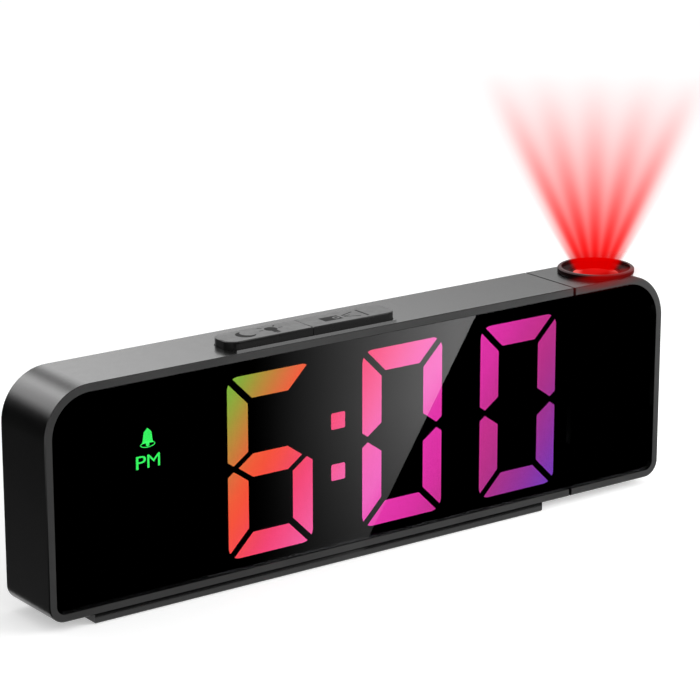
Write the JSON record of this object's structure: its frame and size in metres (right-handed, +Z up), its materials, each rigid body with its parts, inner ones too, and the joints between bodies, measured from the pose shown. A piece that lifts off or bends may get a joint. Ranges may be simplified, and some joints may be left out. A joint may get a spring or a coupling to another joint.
{
  "type": "projection alarm clock",
  "caption": "Slim black alarm clock: wide digit display behind a dark window, low foot, two top keys, and an end head that turns and projects through a ringed lens.",
  "frame": {"origin": "on the table under the middle of the clock, on the underside of the rubber sole", "axes": "+X along the clock towards the projector head, +Y from the display to the back, +Z up"},
  "size_m": [0.2, 0.022, 0.0647],
  "materials": {
    "case_black": "fine satin",
    "window_black": "polished",
    "lens_milky": "lit from behind",
    "lens_green": "lit from behind",
    "frame_black": "matt",
    "circuit_green": "solder mask",
    "led_white": "glossy",
    "chip_black": "matt",
    "sole_rubber": "matt",
    "screw_steel": "zinc plated",
    "spring_steel": "satin",
    "cell_steel": "satin",
    "socket_black": "matt",
    "socket_steel": "nickel plated",
    "bush_white": "smooth acetal",
    "lens_clear": "polished",
    "led_red": "glossy",
    "lead_black": "soft jacket",
    "ribbon_amber": "smooth film",
    "slide_dark": "polished"
  },
  "bodies": {
    "clock_case": {"main_housing": "case_black", "front_window": "window_black", "light_box": "frame_black", "hour_tens_segments": "lens_milky", "hour_segments": "lens_milky", "minute_tens_segments": "lens_milky", "minute_segments": "lens_milky", "colon_dots": "lens_milky", "indicator_lenses": "lens_green", "segment_leds": "led_white", "main_board": "circuit_green", "rear_cover": "case_black", "rear_cover_screws": "screw_steel", "foot_plate": "case_black", "foot_screws": "screw_steel", "rubber_sole": "sole_rubber", "key_switches": "chip_black", "rear_switches": "chip_black", "coin_cell": "cell_steel", "battery_contact": "spring_steel", "power_socket": "socket_black", "usb_socket": "socket_steel", "buzzer": "chip_black", "control_chip": "chip_black", "case_lead_socket": "bush_white", "case_lead": "lead_black", "pivot_bush": "bush_white", "spring_washer": "spring_steel"},
    "projector_head": {"head_housing": "case_black", "head_window": "window_black", "head_cover": "case_black", "head_cover_screws": "screw_steel", "lamp_house": "frame_black", "lamp_house_screws": "screw_steel", "projector_board": "circuit_green", "projector_board_screws": "screw_steel", "head_lead_socket": "bush_white", "head_lead": "lead_black", "red_led": "led_red", "condenser_lens": "lens_clear", "time_slide": "slide_dark", "slide_ribbon": "ribbon_amber", "pivot_tube": "case_black", "pivot_screws": "screw_steel", "retaining_ring": "spring_steel"},
    "focus_ring_body": {"focus_ring": "case_black", "ring_clip": "spring_steel"},
    "lens_barrel_body": {"lens_barrel": "case_black", "objective_lens": "lens_clear"},
    "snooze_key_body": {"snooze_key": "case_black"},
    "projector_key_body": {"projector_key": "case_black"},
    "battery_door_body": {"battery_door": "case_black"},
    "rear_button_1_body": {"rear_button_1": "case_black"},
    "rear_button_2_body": {"rear_button_2": "case_black"},
    "rear_button_3_body": {"rear_button_3": "case_black"},
    "rear_button_4_body": {"rear_button_4": "case_black"},
    "rear_button_5_body": {"rear_button_5": "case_black"}
  },
  "joints": [
    {"name": "head_turn", "type": "hinge", "parent": "clock_case", "child": "projector_head", "pos_m": [0.0677, 0, 0.0325], "axis": [1, 0, 0], "range_deg": [-90, 90]},
    {"name": "focus_ring_turn", "type": "hinge", "parent": "projector_head", "child": "focus_ring_body", "pos_m": [0.0843, 0, 0.0625], "axis": [0, 0, 1], "range_deg": [-90, 90]},
    {"name": "lens_focus", "type": "slide", "parent": "projector_head", "child": "lens_barrel_body", "axis": [0, 0, 1], "range_m": [-0.00075, 0.00075]},
    {"name": "snooze_key_press", "type": "slide", "parent": "clock_case", "child": "snooze_key_body", "axis": [0, 0, -1], "range_m": [0, 0.0006], "stiffness_N_per_m": 500, "springref_m": -0.0012},
    {"name": "projector_key_press", "type": "slide", "parent": "clock_case", "child": "projector_key_body", "axis": [0, 0, -1], "range_m": [0, 0.0006], "stiffness_N_per_m": 500, "springref_m": -0.0012},
    {"name": "battery_door_turn", "type": "hinge", "parent": "clock_case", "child": "battery_door_body", "pos_m": [-0.06, 0.0107, 0.0325], "axis": [0, 1, 0], "range_deg": [0, 40]},
    {"name": "rear_button_1_press", "type": "slide", "parent": "clock_case", "child": "rear_button_1_body", "axis": [0, -1, 0], "range_m": [0, 0.0005], "stiffness_N_per_m": 600, "springref_m": -0.00083},
    {"name": "rear_button_2_press", "type": "slide", "parent": "clock_case", "child": "rear_button_2_body", "axis": [0, -1, 0], "range_m": [0, 0.0005], "stiffness_N_per_m": 600, "springref_m": -0.00083},
    {"name": "rear_button_3_press", "type": "slide", "parent": "clock_case", "child": "rear_button_3_body", "axis": [0, -1, 0], "range_m": [0, 0.0005], "stiffness_N_per_m": 600, "springref_m": -0.00083},
    {"name": "rear_button_4_press", "type": "slide", "parent": "clock_case", "child": "rear_button_4_body", "axis": [0, -1, 0], "range_m": [0, 0.0005], "stiffness_N_per_m": 600, "springref_m": -0.00083},
    {"name": "rear_button_5_press", "type": "slide", "parent": "clock_case", "child": "rear_button_5_body", "axis": [0, -1, 0], "range_m": [0, 0.0005], "stiffness_N_per_m": 600, "springref_m": -0.00083}
  ],
  "couplings": [
    {"joint": "focus_ring_turn", "follows": "lens_focus", "rad_per_m": 2094}
  ]
}
